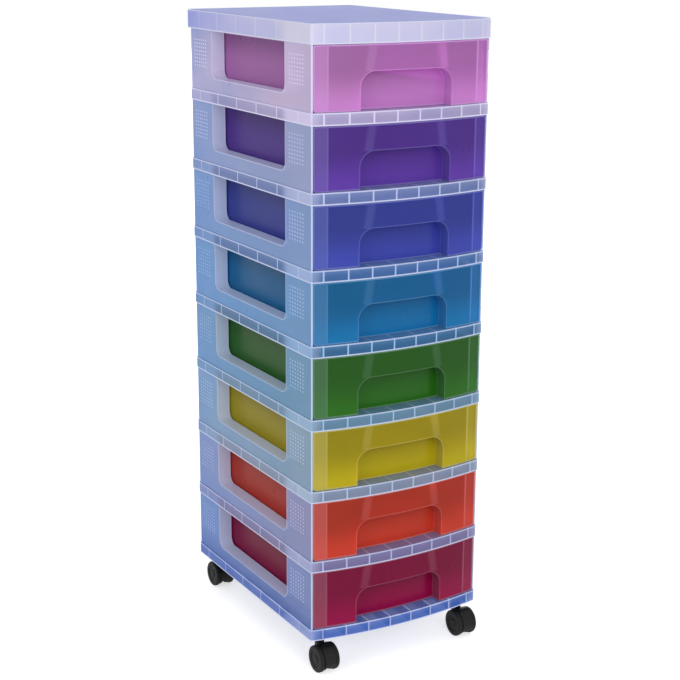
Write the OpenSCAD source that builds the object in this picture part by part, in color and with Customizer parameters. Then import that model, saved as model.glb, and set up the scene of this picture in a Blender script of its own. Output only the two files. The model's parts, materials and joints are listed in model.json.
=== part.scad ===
// Drawer tower on casters: ribbed decks with side walls stacked on one another, a cover on top,
// one bowed drawer on each deck, and four twin-wheel casters under the lowest deck.
// Millimetres, +Z up, floor at z = 0, front towards -Y, origin under the middle of the outline.

/* [Tower] */
// Number of levels, each one deck with its walls and its drawer
levels = 8; // [3:1:8]
// Outside width of the decks and the cover
tower_w = 300; // [270:2:340]
// Depth of a side, from its front corner to the back
side_depth = 396; // [350:2:430]
// How far the middle of the front stands out beyond the corners
bow = 16; // [10:1:22]
// Height of one level, deck and walls together
level_h = 111; // [100:1:130]
// Radius of the upright corners
corner_r = 6; // [5:0.5:10]

/* [Deck] */
// Height of a deck with its skirt
deck_h = 18; // [17:1:24]
// Thickness of the deck's plate
deck_t = 2; // [1.6:0.2:3]
// Thickness of the skirt round a deck
skirt_t = 2; // [1.6:0.2:2.4]
// Thickness of the ribs under a deck
rib_t = 1.6; // [1.2:0.2:2.4]
// Number of ribs that run from front to back
long_ribs = 8; // [6:2:10]
// Distance of the outermost long rib from the side
long_rib_margin = 18.4; // [14:0.4:24]
// Number of ribs that run across
cross_ribs = 6; // [4:2:8]
// Distance of the first cross rib from the end of the side
cross_rib_margin = 37.5; // [32:0.5:44]

/* [Walls] */
// Thickness of the side walls and the back wall
wall_t = 2; // [1.6:0.2:2.4]
// How far the walls stand in from the skirt
wall_inset = 1.2; // [0.8:0.2:1.6]
// Length of the side window
window_l = 238; // [200:2:250]
// Height of the window's sill above the underside of the deck
sill_h = 39; // [32:1:48]
// Radius of the window's lower corners
window_r = 13; // [8:1:18]
// Thickness of the channel that runs from the window in to the drawer
channel_t = 2; // [1.6:0.2:3]
// Length of a tab that locates the piece above
tab_l = 14; // [10:1:16]
// Thickness of a tab
tab_t = 1.6; // [1.2:0.1:1.6]
// Height of a tab above the wall
tab_h = 6; // [4:0.5:9]
// Gap between a tab and the skirt round it
tab_gap = 0.4; // [0.2:0.1:0.5]
// Height of the runners that guide a drawer on its deck
runner_h = 4; // [2:0.5:6]
// Thickness of a runner
runner_t = 2; // [1.6:0.2:3]

/* [Drawer] */
// Outside width of a drawer's box
box_w = 250; // [220:2:254]
// Thickness of a drawer's walls
box_t = 1.8; // [1.4:0.1:2.4]
// Thickness of a drawer's floor
floor_t = 2; // [1.6:0.2:3]
// Radius of the box's rear corners
box_r = 12; // [6:1:18]
// Width of the rolled rim round the top of a box
rim_w = 1.2; // [0.6:0.1:1.6]
// Height of the rim
rim_h = 2.6; // [2:0.2:4]
// Gap between a drawer and what it runs on
slide_gap = 0.4; // [0.3:0.05:0.8]
// Gap beside the rim, between a drawer and its guides
guide_gap = 0.8; // [0.4:0.1:1.2]
// Gap between a drawer's rim and the deck or cover above it
top_gap = 3; // [2:0.5:5]
// The same above a drawer's front, which stands higher
front_top_gap = 0.8; // [0.5:0.1:2]
// Gap behind a closed drawer
rear_gap = 6; // [3:0.5:10]
// Thickness of a drawer's front
front_t = 2.2; // [1.8:0.1:3]
// How far a drawer's front stands back from the deck's front edge
front_setback = 3; // [2:0.5:4]
// Gap between the end of a drawer's front and the side wall
front_gap = 1.2; // [0.8:0.1:1.6]
// Radius of the front's lower corners
front_r = 5; // [3:0.5:8]
// Depth of the lip that turns back round the front's ends
lip_d = 6; // [4:0.5:10]

/* [Finger well] */
// Width of the hand hole in a drawer's front
grip_w = 152; // [120:2:170]
// Height of the hand hole above the underside of the drawer
grip_h = 54.6; // [46:0.2:60]
// Radius of the hand hole's upper corners
grip_r = 23; // [14:1:26]
// Width of the well at its top
well_top_w = 94; // [80:2:110]
// Depth of the well behind the front
well_d = 19; // [14:1:26]

/* [Cover] */
// Height of the cover
cover_h = 29; // [22:1:36]
// How far the cover reaches beyond the back wall
cover_overhang = 8; // [4:1:14]

/* [Casters] */
// Height of the lowest deck's underside above the floor
body_z = 53; // [51:0.5:60]
// Radius of a wheel
wheel_r = 21; // [19:0.5:21.5]
// Width of a wheel
wheel_w = 11.8; // [10:0.2:14]
// How far the wheels' axle trails the stem
trail = 15; // [12:0.5:17]
// Distance of the stem from the side of the tower
stem_from_side = 24; // [22:1:30]
// Distance of the stem from the end of the side
stem_from_end = 16.8; // [14:0.2:20]
// Thickness of the caster's body between its wheels
web_t = 8; // [7:0.5:10]
// Gap between a wheel and the caster's body
wheel_gap = 0.7; // [0.4:0.1:1]
// How far a tread stands out beyond the inside of the mudguard
tread_out = 0.8; // [0.4:0.1:1.2]
// Radius of a tread's rounded outer edge
tread_edge = 2.4; // [1.5:0.1:3]
// Radius of the dish in a wheel's outer face
dish_r = 14; // [11:0.5:16]
// Depth of the dish
dish_d = 1.2; // [0.6:0.1:1.8]
// Radius of the hub cap in the middle of the dish
cap_r = 6; // [4:0.5:8]
// Thickness of the mudguard over the wheels
guard_t = 1.6; // [1.2:0.1:2]
// Angle of the mudguard's rear end below the horizontal
guard_rear = 15; // [0:5:30]
// Angle of the mudguard's front end, measured over the top from the rear horizontal
guard_front = 205; // [150:5:215]
// Width of the mudguard's lip over each wheel
guard_lip = 4.6; // [3:0.2:6]
// Radius of the web round the axle
web_r = 8; // [6:0.5:10]
// Radius of the axle
axle_r = 3; // [2.5:0.1:4]
// How far the axle goes into each wheel
axle_reach = 8.8; // [6:0.2:9]
// Radius of the stem inside the caster's body
stem_r = 4; // [3.5:0.1:4.5]
// Radius of the stem inside the deck's socket
plug_r = 5.5; // [5:0.1:6.5]
// Length of the stem inside the deck's socket
plug_l = 14; // [10:0.5:14]
// Wall of the socket round the stem
socket_t = 3.5; // [2.5:0.5:5]
// Wall of the boss round the stem
boss_t = 3.5; // [2.5:0.5:5]
// Radius of the stem's collar under the deck
collar_r = 7; // [6:0.5:8]
// Thickness of the collar
collar_t = 1; // [0.6:0.2:1.6]
// Gap between the collar and the caster's body
collar_gap = 0.3; // [0.2:0.1:0.6]
// Gap round a shaft in its bore
shaft_gap = 0.05; // [0.02:0.01:0.08]
// Gap past the end of a shaft in its bore
end_gap = 0.4; // [0.3:0.1:0.8]

/* [Hidden] */
$fn = 64;
// The mudguard's inner and outer radius
guard_in = wheel_r - tread_out;
guard_out = guard_in + guard_t;

// The two ends of the tower, the cover's back and what reaches out furthest in front of the
// corners, lie equally far from the origin
front_reach = max(bow, guard_out + trail - stem_from_end);
half_depth = (side_depth + cover_overhang + front_reach) / 2;
corner_y = front_reach - half_depth;
back_y = corner_y + side_depth;
mid_y = (corner_y + back_y) / 2;
far = 2 * (tower_w + side_depth);      // longer than anything it cuts

// The front's bow is an arc through both corners
bow_r = (pow(tower_w / 2, 2) + bow * bow) / (2 * bow);
bow_cy = corner_y - bow + bow_r;

// The bay that a drawer runs in, and the runners beside its floor
bay_x = tower_w / 2 - wall_inset - wall_t;
bay_back = back_y - wall_inset - wall_t;
guide_x = box_w / 2 + rim_w + guide_gap;
runner_y = corner_y + front_setback + 2 * lip_d;

// A drawer, from its deck's underside
drawer_z = deck_h + slide_gap;
drawer_top = level_h - top_gap;
drawer_h = drawer_top - drawer_z;
front_h = level_h - front_top_gap - drawer_z;
box_back = bay_back - rear_gap;
front_x = bay_x - front_gap;

// Ribs and tabs
long_rib_step = (tower_w - 2 * long_rib_margin) / (long_ribs - 1);
cross_rib_step = (side_depth - 2 * cross_rib_margin) / (cross_ribs - 1);
tab_inset = skirt_t + tab_gap;
tab_root = 8;                     // how far down the wall a tab is joined to it
tab_rib = 2;                      // steps of the long ribs from the middle to a tab on the back wall

// A caster, from its stem's axis and the floor
wheel_x = web_t / 2 + wheel_gap;  // inner face of a wheel
shoulder_w = guard_lip + wheel_gap;
shoulder_r = guard_in - wheel_gap;
boss_r = stem_r + boss_t;
boss_z = wheel_r + guard_in;
boss_top = body_z - collar_t - collar_gap;
stem_floor = boss_z + tread_out;  // bottom of the stem's bore
chamfer = 1;                      // at the end of the stem that goes into the socket

stems = [
    ["front_left", -1, -1], ["front_right", 1, -1],
    ["rear_left", -1, 1], ["rear_right", 1, 1]
];
caster_parts = ["hood", "stem", "axle", "wheel_left", "wheel_right"];

frame_colours = [
    [0.78, 0.78, 0.92], [0.70, 0.72, 0.90], [0.64, 0.69, 0.89], [0.58, 0.66, 0.88],
    [0.53, 0.63, 0.86], [0.47, 0.58, 0.84], [0.41, 0.52, 0.82], [0.33, 0.44, 0.78]
];
drawer_colours = [
    [0.73, 0.38, 0.68], [0.33, 0.20, 0.55], [0.25, 0.27, 0.62], [0.13, 0.45, 0.70],
    [0.15, 0.45, 0.12], [0.72, 0.66, 0.13], [0.75, 0.25, 0.16], [0.48, 0.09, 0.24]
];

// Height of the underside of a level's deck; level 1 is the top one
function level_z(i) = body_z + (levels - i) * level_h;
function stem_x(s) = s[1] * (tower_w / 2 - stem_from_side);
function stem_y(s) = mid_y + s[2] * (side_depth / 2 - stem_from_end);

// ---- Outlines in plan ----

// The disc whose front edge is the bow, set in by a distance
module bow_disc(inset) {
    translate([0, bow_cy]) circle(r = bow_r - inset, $fn = 360);
}

// The tower's plan, set in by a distance: bowed front, straight sides and back, rounded corners
module plan(inset = 0, extra_back = 0) {
    half_w = tower_w / 2 - inset;
    back = back_y + extra_back - inset;
    r = corner_r - inset;
    cx = half_w - r;
    reach = bow_r - inset - r;
    cy = bow_cy - sqrt(reach * reach - cx * cx);
    out = (reach + r + 2 * bow) / reach;
    union() {
        intersection() {
            bow_disc(inset);
            polygon([
                [-cx, cy], [-cx * out, bow_cy + (cy - bow_cy) * out],
                [cx * out, bow_cy + (cy - bow_cy) * out], [cx, cy]
            ]);
        }
        translate([-half_w, cy]) square([2 * half_w, back - r - cy]);
        translate([-cx, cy]) square([2 * cx, back - cy]);
        for (x = [-cx, cx]) for (y = [cy, back - r]) translate([x, y]) circle(r = r);
    }
}

// The ribs under a deck or the cover, long ones and cross ones
module ribs(extra_back) {
    intersection() {
        plan(skirt_t / 2, extra_back);
        union() {
            for (i = [0:long_ribs - 1])
                translate([i * long_rib_step + long_rib_margin - tower_w / 2, 0])
                    square([rib_t, far], center = true);
            for (i = [0:cross_ribs - 1])
                translate([0, corner_y + cross_rib_margin + i * cross_rib_step])
                    square([far, rib_t], center = true);
            if (extra_back > 0) translate([-far / 2, back_y - skirt_t]) square([far, skirt_t]);
        }
    }
}

// The opening in a side, seen from the side: round lower corners, open above
module window_shape(rise, grow = 0) {
    half = window_l / 2 + grow;
    r = window_r + grow;
    translate([-half, r - grow]) square([2 * half, rise - r + grow]);
    translate([r - half, -grow]) square([2 * (half - r), rise + grow]);
    for (y = [r - half, half - r]) translate([y, r - grow]) circle(r = r);
}

// A shape in Y and Z, drawn round the window's sill, made l long in X from x
module across(x, l) {
    translate([x, mid_y, sill_h]) rotate([90, 0, 90]) linear_extrude(l) children();
}

// ---- Decks, walls and cover ----

// A plate with a skirt and ribs under it
module ribbed_plate(h, extra_back = 0) {
    linear_extrude(h) difference() {
        plan(0, extra_back);
        plan(skirt_t, extra_back);
    }
    translate([0, 0, h - deck_t]) linear_extrude(deck_t) plan(0, extra_back);
    linear_extrude(h - deck_t / 2) ribs(extra_back);
}

// The walls round the bay, with the window in each side
module shell() {
    difference() {
        translate([0, 0, deck_h]) linear_extrude(level_h - deck_h) difference() {
            plan(wall_inset);
            translate([-bay_x, -far]) square([2 * bay_x, far + bay_back]);
        }
        across(-far / 2, far) window_shape(level_h);
    }
}

// The channel from each window in to the drawer, which also guides the drawer
module channels() {
    l = bay_x + wall_t / 2 - guide_x;
    for (x = [guide_x, -guide_x - l])
        across(x, l) difference() {
            window_shape(level_h - sill_h, channel_t);
            window_shape(level_h - sill_h);
        }
}

// The runners along the deck, one at each side of the drawer's floor, from the rear wall forwards
module runners() {
    for (x = [guide_x, -guide_x - runner_t])
        translate([x, runner_y, deck_h])
            cube([runner_t, bay_back - runner_y + wall_t / 2, runner_h]);
}

// Tabs on the walls' upper edge, inside the skirt of the deck or cover above
module tabs() {
    z = level_h - tab_root;
    h = tab_root + tab_h;
    side_x = tower_w / 2 - tab_inset - tab_t;
    for (x = [side_x, -side_x - tab_t])
        for (y = [corner_y + cross_rib_margin / 2, back_y - cross_rib_margin / 2])
            translate([x, y - tab_l / 2, z]) cube([tab_t, tab_l, h]);
    for (x = [-tab_rib, tab_rib])
        translate([x * long_rib_step - tab_l / 2, back_y - tab_inset - tab_t, z])
            cube([tab_l, tab_t, h]);
}

module socket_boss() {
    cylinder(r = plug_r + shaft_gap + socket_t, h = deck_h - deck_t / 2);
}

module socket_bore() {
    translate([0, 0, -1]) cylinder(r = plug_r + shaft_gap, h = plug_l + end_gap + 1);
}

// The lower part of a level's moulding, up to the deck's top face; the lowest has caster sockets
module deck(i) {
    color(frame_colours[i - 1]) translate([0, 0, level_z(i)]) difference() {
        union() {
            ribbed_plate(deck_h);
            if (i == levels) for (s = stems) translate([stem_x(s), stem_y(s)]) socket_boss();
        }
        if (i == levels) for (s = stems) translate([stem_x(s), stem_y(s)]) socket_bore();
    }
}

// The upper part of a level's moulding, which stands on the deck's top face
module walls(i) {
    color(frame_colours[i - 1]) translate([0, 0, level_z(i)]) {
        shell();
        channels();
        runners();
        tabs();
    }
}

module top_cover() {
    color([0.80, 0.81, 0.93]) translate([0, 0, level_z(0)]) ribbed_plate(cover_h, cover_overhang);
}

// ---- Drawers ----

// The box in plan, set in from its sides and back, and at the front by front_inset
module box_plan(inset, front_inset) {
    half = box_w / 2 - inset;
    back = box_back - inset;
    r = box_r - inset;
    intersection() {
        bow_disc(front_setback + front_inset);
        union() {
            translate([-half, -far]) square([2 * half, far + back - r]);
            translate([r - half, -far]) square([2 * (half - r), far + back]);
            for (x = [r - half, half - r]) translate([x, back - r]) circle(r = r);
        }
    }
}

// A shape in X and Z, drawn from the drawer's underside, carried through the drawer's front
module through_front() {
    translate([0, corner_y + 3 * well_d, drawer_z]) rotate([90, 0, 0])
        linear_extrude(3 * well_d + 2 * bow) children();
}

// What lies between two bows, a drawer high
module between_bows(front_inset, rear_inset) {
    translate([0, 0, drawer_z - 1]) linear_extrude(drawer_h + 1) difference() {
        bow_disc(front_inset);
        bow_disc(rear_inset);
    }
}

// The hand hole in the front, open below
module hand_hole(grow = 0) {
    half = grip_w / 2 + grow;
    r = grip_r + grow;
    translate([-half, -1]) square([2 * half, grip_h - grip_r + 1]);
    translate([r - half, -1]) square([2 * (half - r), grip_h + grow + 1]);
    for (x = [r - half, half - r]) translate([x, grip_h - grip_r]) circle(r = r);
}

// The well behind the front: the hand hole, and a narrowing part above its upper edge
module well(top, grow = 0) {
    lip = grip_w / 2 - grip_r + grow;
    upper = well_top_w / 2 + grow;
    hand_hole(grow);
    polygon([[-lip, grip_h - 1], [lip, grip_h - 1], [upper, top], [-upper, top]]);
}

// The front seen from the front: square above, round lower corners
module front_shape() {
    translate([-front_x, front_r]) square([2 * front_x, front_h - front_r]);
    translate([front_r - front_x, 0]) square([2 * (front_x - front_r), front_h]);
    for (x = [front_r - front_x, front_x - front_r]) translate([x, front_r]) circle(r = front_r);
}

// The bowed front, wider than the box, with a lip turned back at each end
module front() {
    lip_back = corner_y + front_setback + lip_d;
    intersection() {
        translate([0, 0, drawer_z]) linear_extrude(front_h) intersection() {
            bow_disc(front_setback);
            translate([-front_x, -far]) square([2 * front_x, far + lip_back]);
            union() {
                difference() {
                    translate([-front_x, -far]) square([2 * front_x, far + lip_back]);
                    bow_disc(front_setback + front_t);
                }
                for (x = [-front_x, front_x - box_t])
                    translate([x, -far]) square([box_t, far + lip_back]);
            }
        }
        through_front() front_shape();
    }
}

module drawer(i) {
    well_in = front_setback + front_t;
    well_out = front_setback + well_d;
    color(drawer_colours[i - 1]) translate([0, 0, level_z(i)]) difference() {
        union() {
            difference() {
                translate([0, 0, drawer_z]) linear_extrude(drawer_h) box_plan(0, 0);
                translate([0, 0, drawer_z + floor_t]) linear_extrude(drawer_h)
                    box_plan(box_t, front_t);
            }
            translate([0, 0, drawer_top - rim_h]) linear_extrude(rim_h) difference() {
                box_plan(-rim_w, front_t / 2);
                box_plan(box_t / 2, front_t / 2);
            }
            intersection() {
                between_bows(front_setback + front_t / 2, well_out + box_t);
                through_front() difference() {
                    well(drawer_h, box_t);
                    translate([-far / 2, -far]) square([far, far]);
                }
            }
            front();
        }
        intersection() {
            between_bows(well_in, well_out);
            through_front() well(drawer_h - rim_h);
        }
        intersection() {
            between_bows(0, well_in + 1);
            through_front() hand_hole();
        }
    }
}

// ---- Casters, from the stem's axis and the floor ----

module at_axle() {
    translate([0, -trail, wheel_r]) children();
}

// A shape in Y and Z round the axle, w wide in X
module round_axle(w) {
    at_axle() translate([-w / 2, 0, 0]) rotate([90, 0, 90]) linear_extrude(w) children();
}

// The part of a caster's side view that the mudguard covers: the rear, the top and the front
module guard_sector() {
    step = (guard_front + guard_rear) / 5;
    polygon(concat([[0, 0]],
        [for (i = [0:5]) 3 * wheel_r * [cos(i * step - guard_rear), sin(i * step - guard_rear)]]));
}

// The caster's body: a web between the wheels, a mudguard over them and a boss for the stem
module hood() {
    color([0.10, 0.10, 0.10]) difference() {
        union() {
            round_axle(web_t) {
                circle(r = web_r);
                intersection() {
                    circle(r = guard_out);
                    guard_sector();
                }
                translate([trail - boss_r, 0]) square([2 * boss_r, boss_z - wheel_r + chamfer]);
            }
            round_axle(web_t + 2 * (wheel_gap + guard_lip)) intersection() {
                difference() {
                    circle(r = guard_out);
                    circle(r = guard_in);
                }
                guard_sector();
            }
            translate([0, 0, boss_z]) cylinder(r = boss_r, h = boss_top - boss_z);
        }
        at_axle() rotate([0, 90, 0]) cylinder(r = axle_r + shaft_gap, h = 2 * web_t, center = true);
        translate([0, 0, stem_floor]) cylinder(r = stem_r + shaft_gap, h = body_z - stem_floor);
    }
}

// The steel stem: it turns in the caster's body and is pressed into the deck's socket
module stem() {
    shank_z = stem_floor + end_gap;
    plug_z = body_z - collar_t / 2;
    plug_top = body_z + plug_l;
    color([0.70, 0.71, 0.73]) {
        translate([0, 0, shank_z]) cylinder(r = stem_r, h = plug_z - shank_z);
        translate([0, 0, body_z - collar_t]) cylinder(r = collar_r, h = collar_t);
        translate([0, 0, plug_z]) cylinder(r = plug_r, h = plug_top - chamfer - plug_z);
        translate([0, 0, plug_top - chamfer]) cylinder(r1 = plug_r, r2 = plug_r - chamfer, h = chamfer);
    }
}

module axle() {
    color([0.70, 0.71, 0.73]) at_axle() rotate([0, 90, 0])
        cylinder(r = axle_r, h = 2 * (wheel_x + axle_reach), center = true);
}

// A wheel turned about its axis, with its inner face at 0: a narrow shoulder under the mudguard,
// then the tread, a rounded edge, and a dish with a hub cap that closes the blind bore
module wheel(side) {
    bore_r = axle_r + shaft_gap;
    bore_l = axle_reach + end_gap;
    bevel = tread_out / 2;
    color([0.08, 0.08, 0.08]) at_axle() translate([side * wheel_x, 0, 0]) rotate([0, side * 90, 0])
        rotate_extrude() polygon(concat(
            [[0, bore_l], [bore_r, bore_l], [bore_r, 0], [shoulder_r, 0], [shoulder_r, shoulder_w],
             [wheel_r - bevel, shoulder_w], [wheel_r, shoulder_w + bevel]],
            [for (a = [0:22.5:90]) [wheel_r, wheel_w] + tread_edge * [cos(a) - 1, sin(a) - 1]],
            [[dish_r, wheel_w], [dish_r - dish_d, wheel_w - dish_d],
             [cap_r + dish_d, wheel_w - dish_d], [cap_r, wheel_w], [0, wheel_w]]
        ));
}

for (i = [1:levels]) {
    deck(i);
    walls(i);
    drawer(i);
}
top_cover();
for (s = stems) translate([stem_x(s), stem_y(s), 0]) {
    hood();
    stem();
    axle();
    wheel(-1);
    wheel(1);
}
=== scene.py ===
"""Drawer tower on casters: translucent mouldings with lit edges, grip dots, casters and a studio.

Lengths are metres, +Z is up and the drawers open towards -Y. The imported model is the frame: each
level, drawer and caster keeps its place, and gets a moulded surface with small rounded edges.
"""

import json
import math

import bmesh
import bpy
import numpy as np
from bpy.props import FloatProperty, FloatVectorProperty, IntProperty, PointerProperty
from mathutils import Euler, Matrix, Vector

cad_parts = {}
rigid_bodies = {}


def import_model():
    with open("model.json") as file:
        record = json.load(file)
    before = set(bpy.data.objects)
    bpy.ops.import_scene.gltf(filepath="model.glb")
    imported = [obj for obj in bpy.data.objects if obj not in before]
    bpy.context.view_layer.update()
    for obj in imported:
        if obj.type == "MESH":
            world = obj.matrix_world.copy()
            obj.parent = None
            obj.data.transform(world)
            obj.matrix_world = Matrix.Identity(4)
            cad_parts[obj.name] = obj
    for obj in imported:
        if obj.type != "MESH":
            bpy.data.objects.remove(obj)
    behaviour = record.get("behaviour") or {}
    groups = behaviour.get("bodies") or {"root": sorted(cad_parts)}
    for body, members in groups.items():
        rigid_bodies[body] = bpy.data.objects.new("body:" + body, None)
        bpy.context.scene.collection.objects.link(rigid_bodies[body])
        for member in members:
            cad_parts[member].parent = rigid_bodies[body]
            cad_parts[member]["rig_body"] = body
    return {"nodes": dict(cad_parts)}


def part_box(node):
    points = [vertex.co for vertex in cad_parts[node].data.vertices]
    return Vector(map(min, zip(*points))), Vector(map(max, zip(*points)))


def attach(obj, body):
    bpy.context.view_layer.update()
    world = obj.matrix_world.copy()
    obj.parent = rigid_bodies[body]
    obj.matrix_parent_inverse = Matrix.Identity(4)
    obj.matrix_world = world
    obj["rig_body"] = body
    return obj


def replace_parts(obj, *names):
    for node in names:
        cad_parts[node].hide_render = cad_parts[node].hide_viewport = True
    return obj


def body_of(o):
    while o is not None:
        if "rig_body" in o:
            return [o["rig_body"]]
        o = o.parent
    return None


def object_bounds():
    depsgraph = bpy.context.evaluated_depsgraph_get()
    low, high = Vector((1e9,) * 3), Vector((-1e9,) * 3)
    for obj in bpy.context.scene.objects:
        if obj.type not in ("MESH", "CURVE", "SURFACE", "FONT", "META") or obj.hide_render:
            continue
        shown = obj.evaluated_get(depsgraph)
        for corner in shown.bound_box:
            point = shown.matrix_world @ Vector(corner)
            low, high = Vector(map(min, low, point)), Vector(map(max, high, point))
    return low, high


bl_info = {
    "name": "Drawer Tower",
    "version": (1, 0, 0),
    "blender": (4, 5, 0),
    "location": "View3D > Sidebar > Drawer Tower",
    "description": "Finishes a translucent drawer tower on casters and sets up its studio",
    "category": "Object",
}

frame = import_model()
CAD_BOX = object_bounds()

LEVELS = 8
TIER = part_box("deck_1")[0].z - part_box("deck_2")[0].z
SIDES = {"left": -1, "right": 1}
CASTERS = ("front_left", "front_right", "rear_left", "rear_right")
DRAWER_SLOTS = ("pink", "violet", "indigo", "azure", "green", "yellow", "orange_red", "crimson")

# Places in the mouldings that the light follows, in metres. Heights count from a piece's underside.
DECK_TOP = 0.018
COVER_TOP = 0.029
LONG_RIBS = (-0.1316, 0.0376)     # first X and step of the ribs that run from front to back
CROSS_RIBS = (-0.1545, 0.0642)    # first Y and step of the ribs that run across
WINDOW_MIDDLE = 0.006             # Y of the windows' middle
WINDOW_HALF = 0.119
WINDOW_SILL = 0.039
WINDOW_CORNER = 0.013
WALL_FACE = 0.1488                # X of the walls' outer face
WALL_SKIN = 0.001                 # depth within which a face is the outer one
WALL_FRONT = -0.1905              # Y of the walls' front edge
CHANNEL_END = 0.127               # X of the inner end of a window's channel
FRONT_HALF = 0.1456               # half the width of a drawer's front
FRONT_TOP = 0.0918
FRONT_CORNER = 0.005
FRONT_BACK = -0.175               # Y that only a drawer's front lies before
WELL_BACK = -0.150                # Y that a finger well ends before
WELL_REACH = 0.079                # X that a finger well ends within
BOX_SIDE = 0.125                  # X of a drawer's side wall
BOX_TOP = 0.0896
HAND_HALF = 0.076
HAND_TOP = 0.0546
HAND_CORNER = 0.023
WELL_LOW = 0.053                  # half the well's width above the hand hole, there and at the top
WELL_HIGH = 0.047
WELL_BAND = 0.010                 # half the width of the band that a side of the well shows as
OUT_OF_PIECE = 0.1                # half the height of an outline that runs out of its piece

# Lines of light: where a line's middle lies, half its width, both in metres, and its strength.
LINES = {
    "foot": (0.0006, 0.0018, 1.0),               # over the underside
    "plate": (0.0009, 0.0016, 0.8),              # below the plate's top
    "rib": (0.0, 0.0012, 0.55),                  # from a rib behind the skirt
    "plate_rib": (0.0, 0.0014, 1.0),             # from a rib under the plate
    "window": (0.0, 0.0022, 0.6),                # from the window's outline, in the wall
    "channel": (0.0, 0.0006, 1.0),               # the same, in the channel behind it
    "channel_end": (CHANNEL_END, 0.0030, 1.0),
    "wall_face": (WALL_FACE, 0.0020, 1.0),
    "wall_front": (WALL_FRONT, 0.0024, 1.0),
    "front": (-0.0008, 0.0020, 1.0),             # from the outline of a drawer's front
    "hand_hole": (0.0, 0.0018, 0.5),             # from the hand hole's outline
    "well_side": (WELL_BAND, WELL_BAND, 0.22),   # from a side of the well
    "box_side": (BOX_SIDE, 0.0022, 0.6),
    "box_floor": (0.0, 0.0030, 1.0),
    "box_rim": (BOX_TOP, 0.0030, 0.4),
}
LINE_CORE = 0.3                   # share of a line's half width at which it is fully lit
CHANNEL_LIGHT = 0.85              # light in the middle of a window's channel
CORNER_FRONT = (-0.09, -0.175)    # Y at which the front corners begin to glow, and do fully
CORNER_SIDE = (0.128, 0.148)      # the same for X
CORNER_GLOW = 0.06
CORNER_SKIRT_GLOW = 0.2           # how much more a skirt glows there
WING_EDGE = 0.002                 # width of the step to a front's lit ends, beyond the box's sides
WING_LIGHT = {"left": 0.4, "right": 0.1}
WELL_LIGHT = 0.3                  # light in the walls of a finger well

# Painted shade in the mouldings, from 0 to 1.
PANEL_SHADES = (0.60, 0.80, 0.95, 1.0, 0.70, 0.65, 0.75, 1.0)    # of the levels, from the top down
LAST_FOOT = 0.06                  # height up to which the lowest level is deeper
COVER_PANEL = 0.25
BETWEEN_RIBS = (0.0006, 0.002)    # distance from a rib at which a panel begins, and is full
PANEL_FADE = (2.2, 0.3)           # height, over the plate's, at which a panel begins, and is full
PILLAR_EDGE = 0.012               # softness of the pillars beside a window
PILLAR_CLEARS = 0.65              # share of a panel's shade that they take away
FOOT_FADE = 0.05                  # height over which the shade at the tower's foot fades
FOOT_SHADE = 0.85
FRONT_FADE = (0.0, 0.06)          # heights between which a front's shade grows
FRONT_SHADE = 0.75
BOX_FADE = (0.05, 0.088)          # heights between which a box's shade grows
BOX_SHADE = 0.45
BOX_TOP_SHADE = 0.5               # how much it grows
RIBBED_THICKER = 1.6              # how much thicker than a wall a ribbed skirt or plate looks
BOX_THINNER = 0.35                # how much thinner a drawer's box looks
FACING = 0.6                      # part of a normal from which a face looks that way

# Melt-flow clouds, painted shade that deepens the colour towards the back, dust and the way a wall lets
# light through.
BACK_SHADE_CURVE = 1.6                  # power of the painted shade that deepens the colour from front to back
CLOUD_SWING = 0.9
CLOUD_HAZE = 0.22                 # how much the clouds, and the painted shade towards the back, thicken the haze
BACK_SHADE_HAZE = 0.45
CLOUD_SIZE = 0.12
SPECK_START = 0.42                # noise at which a speck begins
SPECK_GAIN = 2.2
PATCH_SCALE = 22.0                # rubbed patches in a metre
GRAIN_DEPTH = 0.0002              # height of the grain's bump
PLASTIC_IOR = 1.49
GRAZING_CURVE = 3.0
GRAZING_MOST = 0.5                # what a wall scatters more where it is seen edge on

# Shares of a second colour, and gloss.
DEEP_AND_SHADE_SHARE = 0.88                 # of the painted shade colour, in a level's shade towards the back and between its ribs
DRAWER_SHADE = 0.3                # of the drawers' colours, in a skirt's panels
EDGE_LIGHT = 0.7                  # of the edges' light, in a lit edge
DOT_LIGHT = 0.55                  # the same, in a dot
BODY_TINT = 0.25                  # of the plastic's colour, in what shines through
DRAWER_SHADE_BLACK = 0.55                # of black, in a drawer's painted shade colour
DRAWER_LIGHT = 0.18               # of the sky's light, in a drawer's lit edge
DRAWER_CLEAR = 0.05               # of white, in what shines through a drawer
TINT_LEAST = 0.02                 # least of a tint's red, green or blue
TINT_CURVE = 0.9                  # power that makes a drawer's tint lighter
BODY_GLOSS = 0.2
COVER_GLOSS = 0.05
BLACK, WHITE = (0, 0, 0), (1, 1, 1)
SKY_LIGHT = (0.75, 0.92, 1)
PLASTIC_DUST = (0.12, 0.115, 0.105)
STEEL_DUST = (0.35, 0.34, 0.33)

# Rounding of edges.
STRAIGHT_ON = math.radians(30)    # turn below which an edge carries on from another
SHARP = math.radians(38)          # angle between its faces from which an edge is sharp
FLAT = math.radians(0.2)          # angle up to which faces are merged into one
CROWN_ANGLE = 1.0                 # angle from which an edge of the uppermost face is its outline
ROOM = 2.2                        # room that a rounding needs, in its own widths
DOUBLE = 1e-6                     # distance of points that are one, in a CAD node
JOINED_DOUBLE = 2e-5              # the same, in joined nodes
DOT_SINK = 0.0003                 # how far a dot's foot lies inside the wall

# Where each light stands and how wide it is, in metres, and the floor.
LIGHTS = {
    "key": ((-0.4, -2.9, 1.5), 1.6),
    "fill": ((-2.6, -0.9, 1.1), 1.8),
    "back": ((1.8, 2.4, 0.45), 0.8),
}
FLOOR_RADIUS = 12.0
FLOOR_NEAR = (0.3, 1.6)           # distances between which the floor turns white
FLOOR_LIFT = 0.6                  # how far it is lifted near the tower


# ---- Settings ----

def colour(name, description, default):
    """A colour setting."""
    return FloatVectorProperty(
        name=name, description=description, default=default, size=3, subtype="COLOR", min=0.0, max=1.0
    )


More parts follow.
